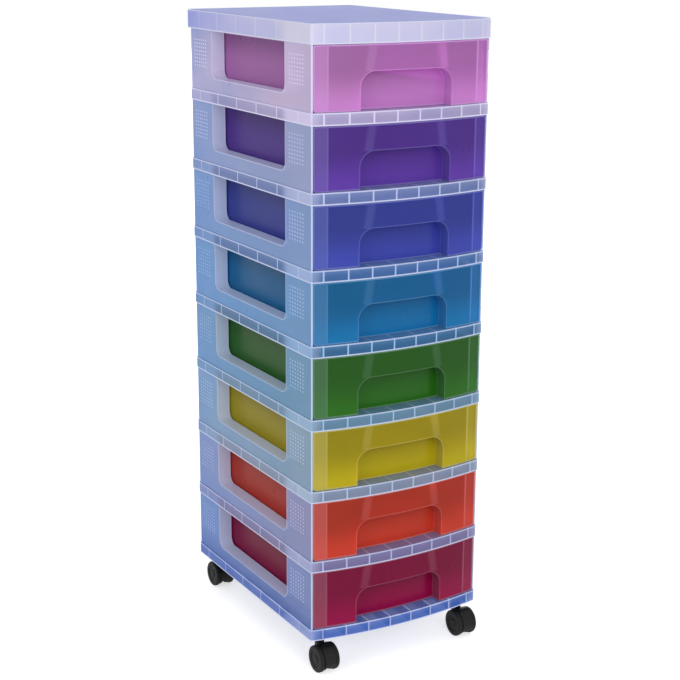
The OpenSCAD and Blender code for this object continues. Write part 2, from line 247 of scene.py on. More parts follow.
def length(name, description, default):
    """A length setting, in metres."""
    return FloatProperty(name=name, description=description, default=default, unit="LENGTH", min=0.0)


def share(name, description, default):
    """A setting from 0 to 1."""
    return FloatProperty(
        name=name, description=description, default=default, subtype="FACTOR", min=0.0, max=1.0
    )


def angle(name, description, degrees):
    """An angle setting."""
    return FloatProperty(
        name=name, description=description, default=math.radians(degrees), subtype="ANGLE"
    )


def power(name, default):
    """The power of a light."""
    return FloatProperty(
        name=f"{name} light", description=f"Power of the {name.lower()} light", default=default,
        min=0.0, unit="POWER",
    )


class BodySettings(bpy.types.PropertyGroup):
    """The milky mouldings: decks with walls, and the cover."""

    top: colour("Top level", "Colour of the plastic at the top of the tower", (0.82, 0.79, 1.0))
    middle: colour("Middle levels", "Colour of the plastic halfway down", (0.24, 0.49, 0.84))
    lowest: colour("Lowest level", "Colour of the plastic at its foot", (0.27, 0.50, 0.96))
    # Painted light: the share of the colour of the drawer inside that tints each level.
    drawer_bleed: share("Drawer bleed", "Share of its drawer's colour that a level takes on", 0.18)
    # Painted shade: the colour that a level deepens to towards its back and, darkened, in the panels
    # between its ribs; the clouds lean to it too.
    deep: colour("Deep", "Colour towards the back and between the ribs", (0.05, 0.20, 0.58))
    shade: share("Shade", "How dark the panels between a skirt's ribs are", 0.45)
    # Painted shade at the tower's foot.
    foot: colour("Foot", "Colour that the lowest level deepens to at its foot", (0.035, 0.12, 0.50))
    edge: colour("Edges", "Colour of the light that gathers in the edges", (0.78, 0.81, 1.0))
    cover: colour("Cover skirt", "Colour of the cover's skirt", (0.73, 0.70, 0.84))
    # Painted shade: the darker colour of the cover's flat top and of its back.
    cover_shade: colour("Cover shade", "Colour of the cover's flat top", (0.26, 0.32, 0.84))
    haze: share("Haze", "Share of the light that a wall scatters", 0.62)
    cover_haze: share("Cover haze", "The same on the cover", 0.78)
    edge_haze: share("Edge haze", "The same where light gathers", 0.80)
    glow: share("Glow", "How strongly the light in the edges shines by itself", 0.14)
    edge_round: length("Edge rounding", "Width of the rounding along the outer edges", 0.0007)
    crown: length("Cover rounding", "Width of the rounding round the top of the cover", 0.0018)


class DrawerSettings(bpy.types.PropertyGroup):
    """The tinted drawers, from the top level down."""

    pink: colour("Level 1", "Colour of the drawer on the top level", (0.84, 0.33, 0.85))
    violet: colour("Level 2", "Colour of the drawer on level 2", (0.17, 0.062, 0.55))
    indigo: colour("Level 3", "Colour of the drawer on level 3", (0.072, 0.10, 0.62))
    azure: colour("Level 4", "Colour of the drawer on level 4", (0.008, 0.25, 0.62))
    green: colour("Level 5", "Colour of the drawer on level 5", (0.030, 0.21, 0.011))
    yellow: colour("Level 6", "Colour of the drawer on level 6", (0.72, 0.58, 0.009))
    orange_red: colour("Level 7", "Colour of the drawer on level 7", (0.88, 0.070, 0.034))
    crimson: colour("Level 8", "Colour of the drawer on the lowest level", (0.45, 0.004, 0.090))
    haze: share("Haze", "Share of the light that a wall scatters", 0.68)
    edge_haze: share("Edge haze", "The same where light gathers", 0.72)
    edge_round: length("Edge rounding", "Width of the rounding along the outer edges", 0.0006)


class DotSettings(bpy.types.PropertyGroup):
    """The raised dots that help a hand to lift a level."""

    radius: length("Radius", "Radius of a dot", 0.0014)
    height: length("Height", "How far a dot stands out of the wall", 0.0007)
    columns: IntProperty(name="Columns", description="Dots along a patch", default=6, min=2, max=9)
    rows: IntProperty(name="Rows", description="Dots up a patch", default=8, min=2, max=12)
    patch_length: length("Patch length", "Length of a patch between its outer dots", 0.039)
    patch_height: length("Patch height", "Height of a patch between its outer dots", 0.040)
    from_front: length("From the front", "Distance of the front patch from the front corner", 0.025)
    from_back: length("From the back", "Distance of the rear patch from the back", 0.018)
    from_top: length("From the top", "Distance of a patch from the top of its wall", 0.016)


class CasterSettings(bpy.types.PropertyGroup):
    """The casters."""

    shell: colour("Shell", "Colour of a caster's body", (0.006, 0.006, 0.006))
    tread: colour("Tread", "Colour of the wheels", (0.007, 0.007, 0.007))
    steel: colour("Steel", "Colour of the stems and axles", (0.62, 0.62, 0.64))
    edge_round: length("Edge rounding", "Width of the rounding along every edge", 0.0005)


class StageSettings(bpy.types.PropertyGroup):
    """The floor, the lights and the camera."""

    floor: colour("Floor", "Colour of the floor", (0.86, 0.86, 0.86))
    camera_place: FloatVectorProperty(
        name="Camera place", description="Where the camera stands", default=(-1.162, -2.013, 1.096),
        size=3, subtype="TRANSLATION", unit="LENGTH",
    )
    camera_yaw: angle("Camera yaw", "Turn of the camera to the right of +Y", 30.2)
    camera_pitch: angle("Camera pitch", "How far the camera looks down", 15.3)
    camera_roll: angle("Camera roll", "Tilt of the camera about its view", 0.3)
    lens: FloatProperty(
        name="Lens", description="Focal length of the camera in millimetres", default=80.0, min=10.0,
    )
    key_power: power("Key", 27.0)
    fill_power: power("Fill", 17.0)
    back_power: power("Back", 9.0)
    sky: share("Sky", "Strength of the even light from all round", 0.55)


SETTINGS = {
    "tower_body": BodySettings,
    "tower_drawers": DrawerSettings,
    "tower_dots": DotSettings,
    "tower_casters": CasterSettings,
    "tower_stage": StageSettings,
}


# ---- Node helpers ----

NUMBER, COLOUR = "NodeSocketFloat", "NodeSocketColor"
LIGHT_OUTPUTS = [("Lines", NUMBER), ("Panels", NUMBER), ("Thickness", NUMBER)]


def add_node(tree, kind, **values):
    """A node with its plain settings and its unlinked inputs set by name."""
    node = tree.nodes.new(kind)
    for key, value in values.items():
        if key in node.inputs:
            node.inputs[key].default_value = value
        else:
            setattr(node, key, value)
    return node


def new_group(name, inputs, outputs):
    """A shader node group with sockets made from (name, kind, default) and (name, kind). Returns it and
    the two sets of sockets inside it, by name."""
    tree = bpy.data.node_groups.new(name, "ShaderNodeTree")
    for label, kind, default in inputs:
        socket = tree.interface.new_socket(label, in_out="INPUT", socket_type=kind)
        socket.default_value = default
    for label, kind in outputs:
        tree.interface.new_socket(label, in_out="OUTPUT", socket_type=kind)
    return tree, add_node(tree, "NodeGroupInput").outputs, add_node(tree, "NodeGroupOutput").inputs


def use_group(tree, name, **values):
    """A shared group placed in a material with its own values, built the first time it is asked for.
    Underscores in the keywords stand for spaces."""
    node = tree.nodes.new("ShaderNodeGroup")
    node.node_tree = bpy.data.node_groups.get(name) or GROUP_MAKERS[name]()
    for key, value in values.items():
        node.inputs[key.replace("_", " ")].default_value = value
    return node


def feed(tree, value, socket):
    """Gives an input a link from a socket, or a number or colour of its own."""
    if isinstance(value, bpy.types.NodeSocket):
        tree.links.new(value, socket)
    else:
        socket.default_value = value


def math_node(tree, operation, a, b=None, clamp=False):
    """A Math node; a and b are sockets or numbers. This and the helpers below return its output."""
    node = add_node(tree, "ShaderNodeMath", operation=operation, use_clamp=clamp)
    feed(tree, a, node.inputs[0])
    if b is not None:
        feed(tree, b, node.inputs[1])
    return node.outputs[0]


def plus(tree, a, b, clamp=False):
    """a plus b."""
    return math_node(tree, "ADD", a, b, clamp)


def minus(tree, a, b):
    """a less b."""
    return math_node(tree, "SUBTRACT", a, b)


def times(tree, a, b, clamp=False):
    """a times b."""
    return math_node(tree, "MULTIPLY", a, b, clamp)


def absolute(tree, a):
    """a without its sign."""
    return math_node(tree, "ABSOLUTE", a)


def above(tree, value, limit):
    """1 where a value is above a limit, 0 elsewhere."""
    return math_node(tree, "GREATER_THAN", value, limit)


def below(tree, value, limit):
    """1 where a value is below a limit, 0 elsewhere."""
    return math_node(tree, "LESS_THAN", value, limit)


def inverse(tree, mask):
    """1 less a mask."""
    return minus(tree, 1.0, mask)


def all_of(tree, *masks):
    """The product of masks."""
    result = masks[0]
    for mask in masks[1:]:
        result = times(tree, result, mask)
    return result


def any_of(tree, *masks):
    """The largest of masks."""
    result = masks[0]
    for mask in masks[1:]:
        result = math_node(tree, "MAXIMUM", result, mask)
    return result


def ramp(tree, value, zero_at, one_at):
    """A smooth rise from 0 at one value to 1 at another."""
    node = add_node(tree, "ShaderNodeMapRange", interpolation_type="SMOOTHSTEP")
    node.inputs["From Min"].default_value = zero_at
    node.inputs["From Max"].default_value = one_at
    tree.links.new(value, node.inputs["Value"])
    return node.outputs["Result"]


def mix_colours(tree, factor, a, b):
    """A colour between a and b; each of factor, a and b is a socket or a value."""
    node = add_node(tree, "ShaderNodeMix", data_type="RGBA")
    sockets = {socket.identifier: socket for socket in (*node.inputs, *node.outputs)}
    feed(tree, factor, sockets["Factor_Float"])
    feed(tree, a, sockets["A_Color"])
    feed(tree, b, sockets["B_Color"])
    return sockets["Result_Color"]


def xyz(tree, vector):
    """The X, Y and Z of a vector."""
    node = add_node(tree, "ShaderNodeSeparateXYZ")
    tree.links.new(vector, node.inputs[0])
    return node.outputs


def noise(tree, place, scale, **values):
    """Noise at a place; its scale is a socket or a number."""
    node = add_node(tree, "ShaderNodeTexNoise", **values)
    tree.links.new(place, node.inputs["Vector"])
    feed(tree, scale, node.inputs["Scale"])
    return node.outputs["Fac"]


def grain_of(tree, place, size, **values):
    """Noise whose grains have the size that a socket gives, in metres."""
    return noise(tree, place, math_node(tree, "DIVIDE", 1.0, size), **values)


def light_line(tree, value, name):
    """One of LINES: its strength where a value is at the line's middle, falling smoothly to 0 half its
    width away."""
    middle, half_width, strength = LINES[name]
    away = absolute(tree, minus(tree, value, middle))
    return times(tree, ramp(tree, away, half_width, LINE_CORE * half_width), strength)


def from_rib(tree, place, ribs):
    """Distance to the nearest of evenly spaced ribs, from their first place and step."""
    first, step = ribs
    return math_node(tree, "PINGPONG", minus(tree, place, first), step / 2)


def from_outline(tree, place, middle, half, corner):
    """Distance from the outline of an upright rectangle with rounded corners, below 0 inside it: with
    q = |place - middle| - half + corner on each axis, the length of q's positive part, plus the
    larger q where it is below 0, less the corner's radius."""
    q = [
        minus(tree, absolute(tree, minus(tree, at, centre)), extent - corner)
        for at, centre, extent in zip(place, middle, half)
    ]
    squares = [math_node(tree, "POWER", math_node(tree, "MAXIMUM", side, 0.0), 2.0) for side in q]
    outside = math_node(tree, "SQRT", plus(tree, *squares))
    inside = math_node(tree, "MINIMUM", math_node(tree, "MAXIMUM", *q), 0.0)
    return minus(tree, plus(tree, outside, inside), corner)


def place_and_facing(tree, underside):
    """X, Y and the height over a piece's underside, |X|, and masks of the faces that look sideways and
    of those that look forwards or back."""
    source = add_node(tree, "ShaderNodeTexCoord")
    place, normal = xyz(tree, source.outputs["Object"]), xyz(tree, source.outputs["Normal"])
    sideways, forwards = (above(tree, absolute(tree, normal[axis]), FACING) for axis in "XY")
    height = minus(tree, place["Z"], underside)
    return place["X"], place["Y"], height, absolute(tree, place["X"]), sideways, forwards


# ---- Node groups ----

def body_light_group():
    """Painted light that gathers in a level or the cover: along the skirt's lower edge and the plate's
    edge, at the ribs behind the skirt and under the plate, round the windows and at both ends of their
    channels, in the walls' front edges and in the front corners; and painted shade in the panels between
    the ribs, deeper towards their foot and paler in the pillars beside the windows, and on flat faces."""
    tree, given, out = new_group(
        "Body Light",
        [
            ("Underside", NUMBER, 0.0),
            ("Plate Top", NUMBER, DECK_TOP),
            ("Panel Depth", NUMBER, 0.6),
            ("Top Depth", NUMBER, 0.5),
            ("Foot Height", NUMBER, 0.0),
        ],
        LIGHT_OUTPUTS,
    )
    x, y, height, reach, sideways, forwards = place_and_facing(tree, given["Underside"])
    plate_top, top_shade = given["Plate Top"], given["Top Depth"]
    upright = any_of(tree, sideways, forwards)
    flat = inverse(tree, upright)
    skirt = all_of(tree, upright, below(tree, height, plate_top))
    wall = all_of(tree, sideways, above(tree, height, plate_top))

    long_rib, cross_rib = from_rib(tree, x, LONG_RIBS), from_rib(tree, y, CROSS_RIBS)
    nearest = math_node(tree, "MINIMUM", long_rib, cross_rib)
    along_skirt = math_node(
        tree, "MINIMUM",
        plus(tree, long_rib, inverse(tree, forwards)), plus(tree, cross_rib, inverse(tree, sideways)),
    )
    window = from_outline(
        tree, (y, height), (WINDOW_MIDDLE, WINDOW_SILL + OUT_OF_PIECE), (WINDOW_HALF, OUT_OF_PIECE),
        WINDOW_CORNER,
    )
    outer_face = all_of(tree, sideways, above(tree, reach, WALL_FACE - WALL_SKIN))
    channel_light = any_of(
        tree, light_line(tree, reach, "channel_end"), light_line(tree, reach, "wall_face"), CHANNEL_LIGHT
    )
    corner = all_of(tree, ramp(tree, y, *CORNER_FRONT), ramp(tree, reach, *CORNER_SIDE))
    lines = any_of(
        tree,
        all_of(tree, skirt, light_line(tree, height, "foot")),
        all_of(tree, skirt, light_line(tree, minus(tree, plate_top, height), "plate")),
        all_of(tree, skirt, light_line(tree, along_skirt, "rib")),
        all_of(tree, outer_face, light_line(tree, window, "window")),
        all_of(tree, light_line(tree, window, "channel"), inverse(tree, sideways), channel_light),
        all_of(tree, wall, light_line(tree, y, "wall_front")),
        all_of(tree, corner, plus(tree, times(tree, skirt, CORNER_SKIRT_GLOW), CORNER_GLOW)),
        all_of(tree, flat, light_line(tree, nearest, "plate_rib"), inverse(tree, top_shade)),
    )
    tree.links.new(lines, out["Lines"])

    over_plate = math_node(tree, "DIVIDE", height, plate_top)
    from_middle = absolute(tree, minus(tree, y, WINDOW_MIDDLE))
    at_window = ramp(tree, from_middle, WINDOW_HALF + PILLAR_EDGE, WINDOW_HALF - PILLAR_EDGE)
    pillar = times(tree, all_of(tree, sideways, inverse(tree, at_window)), PILLAR_CLEARS)
    panels = all_of(
        tree, skirt, ramp(tree, along_skirt, *BETWEEN_RIBS), ramp(tree, over_plate, *PANEL_FADE),
        inverse(tree, pillar), given["Panel Depth"],
    )
    below_foot = minus(tree, given["Foot Height"], height)
    foot = times(tree, math_node(tree, "DIVIDE", below_foot, FOOT_FADE, clamp=True), FOOT_SHADE)
    tree.links.new(any_of(tree, panels, all_of(tree, flat, top_shade), foot), out["Panels"])
    thicker = times(tree, any_of(tree, skirt, flat), RIBBED_THICKER)
    tree.links.new(plus(tree, thicker, 1.0), out["Thickness"])
    return tree


def drawer_light_group():
    """Light that gathers in a drawer: round its front and in the front's ends, where the box's sides and
    the well's upper walls meet the front, round the hand hole, in the well's walls, and along the
    floor and the rim of the box; and shade that grows upwards in the front and in the box."""
    tree, given, out = new_group("Drawer Light", [("Underside", NUMBER, 0.0)], LIGHT_OUTPUTS)
    x, y, height, reach, sideways, forwards = place_and_facing(tree, given["Underside"])
    front = all_of(tree, forwards, below(tree, y, FRONT_BACK))
    behind = inverse(tree, front)
    in_well = all_of(tree, below(tree, y, WELL_BACK), below(tree, reach, WELL_REACH))
    fore = any_of(tree, front, in_well)
    box = inverse(tree, fore)

    edge = from_outline(
        tree, (x, height), (0.0, FRONT_TOP / 2), (FRONT_HALF, FRONT_TOP / 2), FRONT_CORNER
    )
    hand = from_outline(
        tree, (x, height), (0.0, HAND_TOP - OUT_OF_PIECE), (HAND_HALF, OUT_OF_PIECE), HAND_CORNER
    )
    over_hand = minus(tree, height, HAND_TOP)
    slope = (WELL_LOW - WELL_HIGH) / (FRONT_TOP - HAND_TOP)
    well_side = plus(tree, minus(tree, reach, WELL_LOW), times(tree, over_hand, slope))
    wings = (
        times(tree, ramp(tree, x, sign * BOX_SIDE, sign * (BOX_SIDE + WING_EDGE)), WING_LIGHT[side])
        for side, sign in SIDES.items()
    )
    # Painted highlights round the front, in its lit ends beyond the box's sides, where the box's sides
    # meet it, round the hand hole and along the well's upper sides.
    front_highlights = any_of(
        tree, light_line(tree, edge, "front"), light_line(tree, reach, "box_side"), *wings,
        light_line(tree, hand, "hand_hole"),
        all_of(tree, light_line(tree, well_side, "well_side"), above(tree, over_hand, 0.0)),
    )
    rims = any_of(tree, light_line(tree, height, "box_floor"), light_line(tree, height, "box_rim"))
    lines = any_of(
        tree, all_of(tree, front, front_highlights), all_of(tree, sideways, behind, rims),
        times(tree, all_of(tree, in_well, behind), WELL_LIGHT),
    )
    tree.links.new(lines, out["Lines"])

    front_shade = times(tree, ramp(tree, height, *FRONT_FADE), FRONT_SHADE)
    box_shade = plus(tree, times(tree, ramp(tree, height, *BOX_FADE), BOX_TOP_SHADE), BOX_SHADE)
    shade = any_of(tree, all_of(tree, fore, front_shade), all_of(tree, box, box_shade))
    tree.links.new(shade, out["Panels"])
    tree.links.new(inverse(tree, times(tree, box, BOX_THINNER)), out["Thickness"])
    return tree


def clouds_and_back_shade_group():
    """Melt-flow clouds in a translucent moulding, which deepen the colour and thicken the haze, and
    painted shade: the colour deepens and the haze thickens from the front of the tower to its back."""
    tree, given, out = new_group(
        "Melt Flow",
        [
            ("Colour", COLOUR, (0.5, 0.5, 0.8, 1.0)),
            ("Deep Colour", COLOUR, (0.3, 0.35, 0.7, 1.0)),
            ("Haze", NUMBER, 0.5),
            ("Cloud Size", NUMBER, CLOUD_SIZE),
            ("Depth Shift", NUMBER, 0.5),
        ],
        [("Colour", COLOUR), ("Haze", NUMBER)],
    )
    place = add_node(tree, "ShaderNodeTexCoord").outputs["Object"]
    low, high = CAD_BOX[0].y, CAD_BOX[1].y
    along = math_node(tree, "DIVIDE", minus(tree, xyz(tree, place)["Y"], low), high - low)
    along = math_node(tree, "POWER", math_node(tree, "MAXIMUM", along, 0.0), BACK_SHADE_CURVE)
    clouds = grain_of(tree, place, given["Cloud Size"], Detail=3.0, Roughness=0.55)
    drift = times(tree, minus(tree, clouds, 0.5), CLOUD_SWING)
    back_shade = times(tree, along, given["Depth Shift"])
    deepened = mix_colours(
        tree, plus(tree, back_shade, drift, clamp=True), given["Colour"], given["Deep Colour"]
    )
    tree.links.new(deepened, out["Colour"])
    denser = plus(tree, times(tree, drift, CLOUD_HAZE), times(tree, back_shade, BACK_SHADE_HAZE))
    tree.links.new(plus(tree, given["Haze"], denser, clamp=True), out["Haze"])
    return tree


def satin_group():
    """The satin skin of moulded plastic: a fine grain, faint swirls of rubbed patches, and height
    for a bump."""
    tree, given, out = new_group(
        "Satin Skin",
        [("Roughness", NUMBER, 0.35), ("Rubbed", NUMBER, 0.12), ("Grain Size", NUMBER, 0.0012)],
        [("Roughness", NUMBER), ("Height", NUMBER)],
    )
    place = add_node(tree, "ShaderNodeTexCoord").outputs["Object"]
    grain = grain_of(tree, place, given["Grain Size"], Detail=2.0, Roughness=0.6)
    patches = noise(tree, place, PATCH_SCALE, Detail=5.0, Roughness=0.7)
    swing = times(tree, minus(tree, patches, 0.5), given["Rubbed"])
    tree.links.new(plus(tree, given["Roughness"], swing, clamp=True), out["Roughness"])
    tree.links.new(grain, out["Height"])
    return tree


def dust_group():
    """Dust and rubbing on what faces up or rolls: a mask of specks and smudges, more where a face
    looks upwards."""
    tree, given, out = new_group(
        "Settled Dust",
        [("Amount", NUMBER, 0.2), ("Speck Size", NUMBER, 0.004)],
        [("Mask", NUMBER)],
    )
    source = add_node(tree, "ShaderNodeTexCoord")
    specks = grain_of(
        tree, source.outputs["Object"], given["Speck Size"], Detail=6.0, Roughness=0.75
    )
    up = xyz(tree, source.outputs["Normal"])["Z"]
    upward = plus(tree, times(tree, up, 0.5), 0.5, clamp=True)
    mask = times(tree, minus(tree, specks, SPECK_START), SPECK_GAIN, clamp=True)
    tree.links.new(all_of(tree, upward, given["Amount"], mask), out["Mask"])
    return tree


GROUP_MAKERS = {
    "Body Light": body_light_group,
    "Drawer Light": drawer_light_group,
    "Melt Flow": clouds_and_back_shade_group,
    "Satin Skin": satin_group,
    "Settled Dust": dust_group,
}


# ---- Materials ----

def opaque(rgb):
    """A colour socket's value from three numbers."""
    return (*rgb, 1.0)


def blended(a, b, share_b):
    """The colour between a and b, share_b of the way to b."""
    return tuple(float(x) for x in (1 - share_b) * np.array(a) + share_b * np.array(b))


def new_material(name):
    """A material with nodes, its node tree and its Principled BSDF."""
    material = bpy.data.materials.new(name)
    material.use_nodes = True
    return material, material.node_tree, material.node_tree.nodes["Principled BSDF"]


def satin_skin(tree, solid, bump, **values):
    """Gives a shader the roughness of a Satin Skin with its own values, and a bump from its grain."""
    skin = use_group(tree, "Satin Skin", **values)
    tree.links.new(skin.outputs["Roughness"], solid.inputs["Roughness"])
    if bump:
        node = add_node(tree, "ShaderNodeBump", Strength=bump, Distance=GRAIN_DEPTH)
        tree.links.new(skin.outputs["Height"], node.inputs["Height"])
        tree.links.new(node.outputs["Normal"], solid.inputs["Normal"])


def dusty_colour(tree, solid, rgb, dust_rgb, amount, size):
    """Gives a shader its colour with specks of dust on it."""
    specks = use_group(tree, "Settled Dust", Amount=amount, Speck_Size=size)
    colours = mix_colours(tree, specks.outputs["Mask"], opaque(rgb), opaque(dust_rgb))
    tree.links.new(colours, solid.inputs["Base Color"])


def translucent(
    name, rgb, deep, shaded, lit, tint, haze, lit_haze, light=None, gloss=0.4, depth_shift=0.75, glow=0.0
):
    """Tinted polypropylene. The face where light enters a wall scatters part of it in its own colour
    and lets the rest through, tinted; towards grazing angles it scatters and shines more. The face
    where light leaves is clear. Where light gathers, the plastic looks lit and hazier, and in between
    it is shaded. light is the group that says where, with its values, or None. glow is how strongly the
    gathered light shines by itself."""
    material, tree, solid = new_material(name)
    solid.inputs["IOR"].default_value = PLASTIC_IOR
    solid.inputs["Specular IOR Level"].default_value = gloss
    satin_skin(tree, solid, 0.12, Roughness=0.3, Rubbed=0.16, Grain_Size=0.0012)
    # Painted shade that deepens the colour towards the back, and melt-flow clouds.
    clouds_and_shade = use_group(
        tree, "Melt Flow", Colour=opaque(rgb), Deep_Colour=opaque(deep), Haze=haze,
        Cloud_Size=CLOUD_SIZE, Depth_Shift=depth_shift,
    )
    colours, scattered = clouds_and_shade.outputs["Colour"], clouds_and_shade.outputs["Haze"]
    if light:
        group, values = light
        gathered = use_group(tree, group, **values)
        lines = gathered.outputs["Lines"]
        # Painted shade where the group's Panels mask says, and painted light along its Lines.
        colours = mix_colours(tree, gathered.outputs["Panels"], colours, opaque(shaded))
        colours = mix_colours(tree, lines, colours, opaque(lit))
        thickness = gathered.outputs["Thickness"]
        scattered = inverse(tree, math_node(tree, "POWER", inverse(tree, scattered), thickness))
        gain = times(tree, minus(tree, lit_haze, scattered), lines)
        scattered = plus(tree, scattered, gain)
        if glow:
            shine = mix_colours(tree, lines, opaque(BLACK), opaque(lit))
            tree.links.new(shine, solid.inputs["Emission Color"])
            solid.inputs["Emission Strength"].default_value = glow
    tree.links.new(colours, solid.inputs["Base Color"])
    through = add_node(tree, "ShaderNodeBsdfTransparent", Color=opaque(tint))
    facing = add_node(tree, "ShaderNodeLayerWeight", Blend=0.35).outputs["Facing"]
    grazing = times(tree, math_node(tree, "POWER", facing, GRAZING_CURVE), GRAZING_MOST)
    clear = times(tree, inverse(tree, scattered), inverse(tree, grazing))
    leaving = add_node(tree, "ShaderNodeNewGeometry").outputs["Backfacing"]
    mix = add_node(tree, "ShaderNodeMixShader")
    tree.links.new(all_of(tree, inverse(tree, clear), inverse(tree, leaving)), mix.inputs["Fac"])
    tree.links.new(through.outputs[0], mix.inputs[1])
    tree.links.new(solid.outputs[0], mix.inputs[2])
    tree.links.new(mix.outputs[0], tree.nodes["Material Output"].inputs["Surface"])
    return material


def body_colour(settings, drawers, level):
    """The milky colour of a level, from the top's through the middle's to the foot's, level near the
    middle, with painted light from the drawer inside: a share of that drawer's colour."""
    place = 2 * (level - 1) / (LEVELS - 1) - 1
    milky = blended(settings.middle, settings.top if place < 0 else settings.lowest, place ** 2)
    return blended(milky, getattr(drawers, DRAWER_SLOTS[level - 1]), settings.drawer_bleed)


def body_material(settings, name, rgb, deep, shaded, haze, light, gloss):
    """The milky plastic of one level or of the cover. light holds the values of its Body Light."""
    return translucent(
        f"{name}_plastic", rgb, deep, shaded, lit=blended(rgb, settings.edge, EDGE_LIGHT),
        tint=blended(WHITE, rgb, BODY_TINT), haze=haze, lit_haze=settings.edge_haze,
        light=("Body Light", light), gloss=gloss, glow=settings.glow,
    )


def drawer_material(settings, slot, underside):
    """The tinted plastic of one drawer."""
    rgb = tuple(getattr(settings, slot))
    # Painted shade: the drawer's colour darkened with black, towards its back, in the front's upper part
    # and in the box.
    deep = blended(rgb, BLACK, DRAWER_SHADE_BLACK)
    tint = tuple(max(c, TINT_LEAST) ** TINT_CURVE for c in blended(rgb, WHITE, DRAWER_CLEAR))
    return translucent(
        f"drawer_{slot}", rgb, deep, deep, lit=blended(rgb, SKY_LIGHT, DRAWER_LIGHT), tint=tint,
        haze=settings.haze, lit_haze=settings.edge_haze,
        light=("Drawer Light", {"Underside": underside}), gloss=BODY_GLOSS, depth_shift=0.2,
    )


def dot_material(settings, name, rgb):
    """The milky plastic of the grip dots, with painted light: they are lighter than the wall they stand
    on.
    """
    lit = blended(rgb, settings.edge, DOT_LIGHT)
    return translucent(
        f"{name}_dots", lit, rgb, rgb, lit, WHITE, haze=settings.edge_haze, lit_haze=settings.edge_haze
    )


def dark_plastic(name, rgb, roughness, dust):
    """Black moulded plastic with a fine grain and a little dust."""
    material, tree, solid = new_material(name)
    solid.inputs["Specular IOR Level"].default_value = 0.2
    dusty_colour(tree, solid, rgb, PLASTIC_DUST, dust, 0.003)
    satin_skin(tree, solid, 0.25, Roughness=roughness, Rubbed=0.25, Grain_Size=0.0008)
    return material


def zinc_steel(name, rgb):
    """Zinc-plated steel, brushed a little by turning."""
    material, tree, solid = new_material(name)
    solid.inputs["Metallic"].default_value = 1.0
    dusty_colour(tree, solid, rgb, STEEL_DUST, 0.5, 0.002)
    satin_skin(tree, solid, 0.0, Roughness=0.28, Rubbed=0.3, Grain_Size=0.0005)
    return material


# ---- Pieces ----

def link_piece(piece, body, materials):
    """Puts a piece into the scene, gives it its materials and lets it ride its body."""
    bpy.context.scene.collection.objects.link(piece)
    for material in materials:
        piece.data.materials.append(material)
    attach(piece, body)
    return piece


def merged_mesh(node):
    """A copy of a CAD node's mesh with its doubles merged."""
    mesh = frame["nodes"][node].data.copy()
    shape = bmesh.new()
    shape.from_mesh(mesh)
    bmesh.ops.remove_doubles(shape, verts=shape.verts, dist=DOUBLE)
    shape.to_mesh(mesh)
    shape.free()
    mesh.materials.clear()
    return mesh


def joined_mesh(nodes):
    """The CAD nodes of one moulding as one closed mesh, joined where their faces meet."""
    parts = [bpy.data.objects.new("part", merged_mesh(node)) for node in nodes]
    for part in parts:
        bpy.context.scene.collection.objects.link(part)
    for part in parts[1:]:
        join = parts[0].modifiers.new("join", "BOOLEAN")
        join.operation = "UNION"
        join.solver = "EXACT"
        join.object = part
    depsgraph = bpy.context.evaluated_depsgraph_get()
    mesh = bpy.data.meshes.new_from_object(parts[0].evaluated_get(depsgraph))
    for part in parts:
        spare = part.data
        bpy.data.objects.remove(part)
        bpy.data.meshes.remove(spare)
    return mesh


def carries_on(edge, other):
    """Whether another edge at an end of an edge goes on in nearly its direction."""
    along = edge.verts[1].co - edge.verts[0].co
    onward = other.verts[1].co - other.verts[0].co
    return abs(along.normalized().dot(onward.normalized())) > math.cos(STRAIGHT_ON)


def mark_round_edges(shape, width):
    """Gives the sharp edges that have room for a rounding of that width a bevel weight of 1, and keeps
    the others sharp. Only the edges that turn away from an edge at its ends have to leave room."""
    weight = shape.edges.layers.float.new("bevel_weight_edge")
    room = ROOM * width
    for edge in shape.edges:
        if len(edge.link_faces) != 2 or edge.calc_face_angle(0.0) < SHARP:
            continue
        beside = [
            other.calc_length() for vert in edge.verts for other in vert.link_edges
            if other is not edge and not carries_on(edge, other)
        ]
        if min(beside, default=room) >= room:
            edge[weight] = 1.0
        else:
            edge.smooth = False


def moulding(name, nodes, material, width, crown=0.0):
    """A moulding in place of its CAD nodes, which are joined and their flat faces merged. Its sharp
    edges get a small rounding where there is room. A crown first rounds the outline of the uppermost
    face more."""
    mesh = joined_mesh(nodes)
    mesh.name = name
    shape = bmesh.new()
    shape.from_mesh(mesh)
    bmesh.ops.remove_doubles(shape, verts=shape.verts, dist=JOINED_DOUBLE)
    bmesh.ops.dissolve_limit(shape, angle_limit=FLAT, verts=shape.verts, edges=shape.edges)
    if crown:
        top = max(v.co.z for v in shape.verts)
        rim = [
            edge for edge in shape.edges
            if all(abs(vert.co.z - top) < DOUBLE for vert in edge.verts)
            and edge.calc_face_angle(0.0) > CROWN_ANGLE
        ]
        bmesh.ops.bevel(
            shape, geom=rim, offset=crown, offset_type="OFFSET", segments=4, profile=0.5,
            affect="EDGES", clamp_overlap=True,
        )
    for face in shape.faces:
        face.smooth = True
        face.material_index = 0
    mark_round_edges(shape, width)
    shape.to_mesh(mesh)
    shape.free()
    piece = bpy.data.objects.new(name, mesh)
    rounding = piece.modifiers.new("rounding", "BEVEL")
    rounding.width = width
    rounding.segments = 2
    rounding.limit_method = "WEIGHT"
    rounding.use_clamp_overlap = True
    even = piece.modifiers.new("even_normals", "WEIGHTED_NORMAL")
    even.keep_sharp = True
    link_piece(piece, body_of(frame["nodes"][nodes[0]])[0], [material])
    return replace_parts(piece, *nodes)


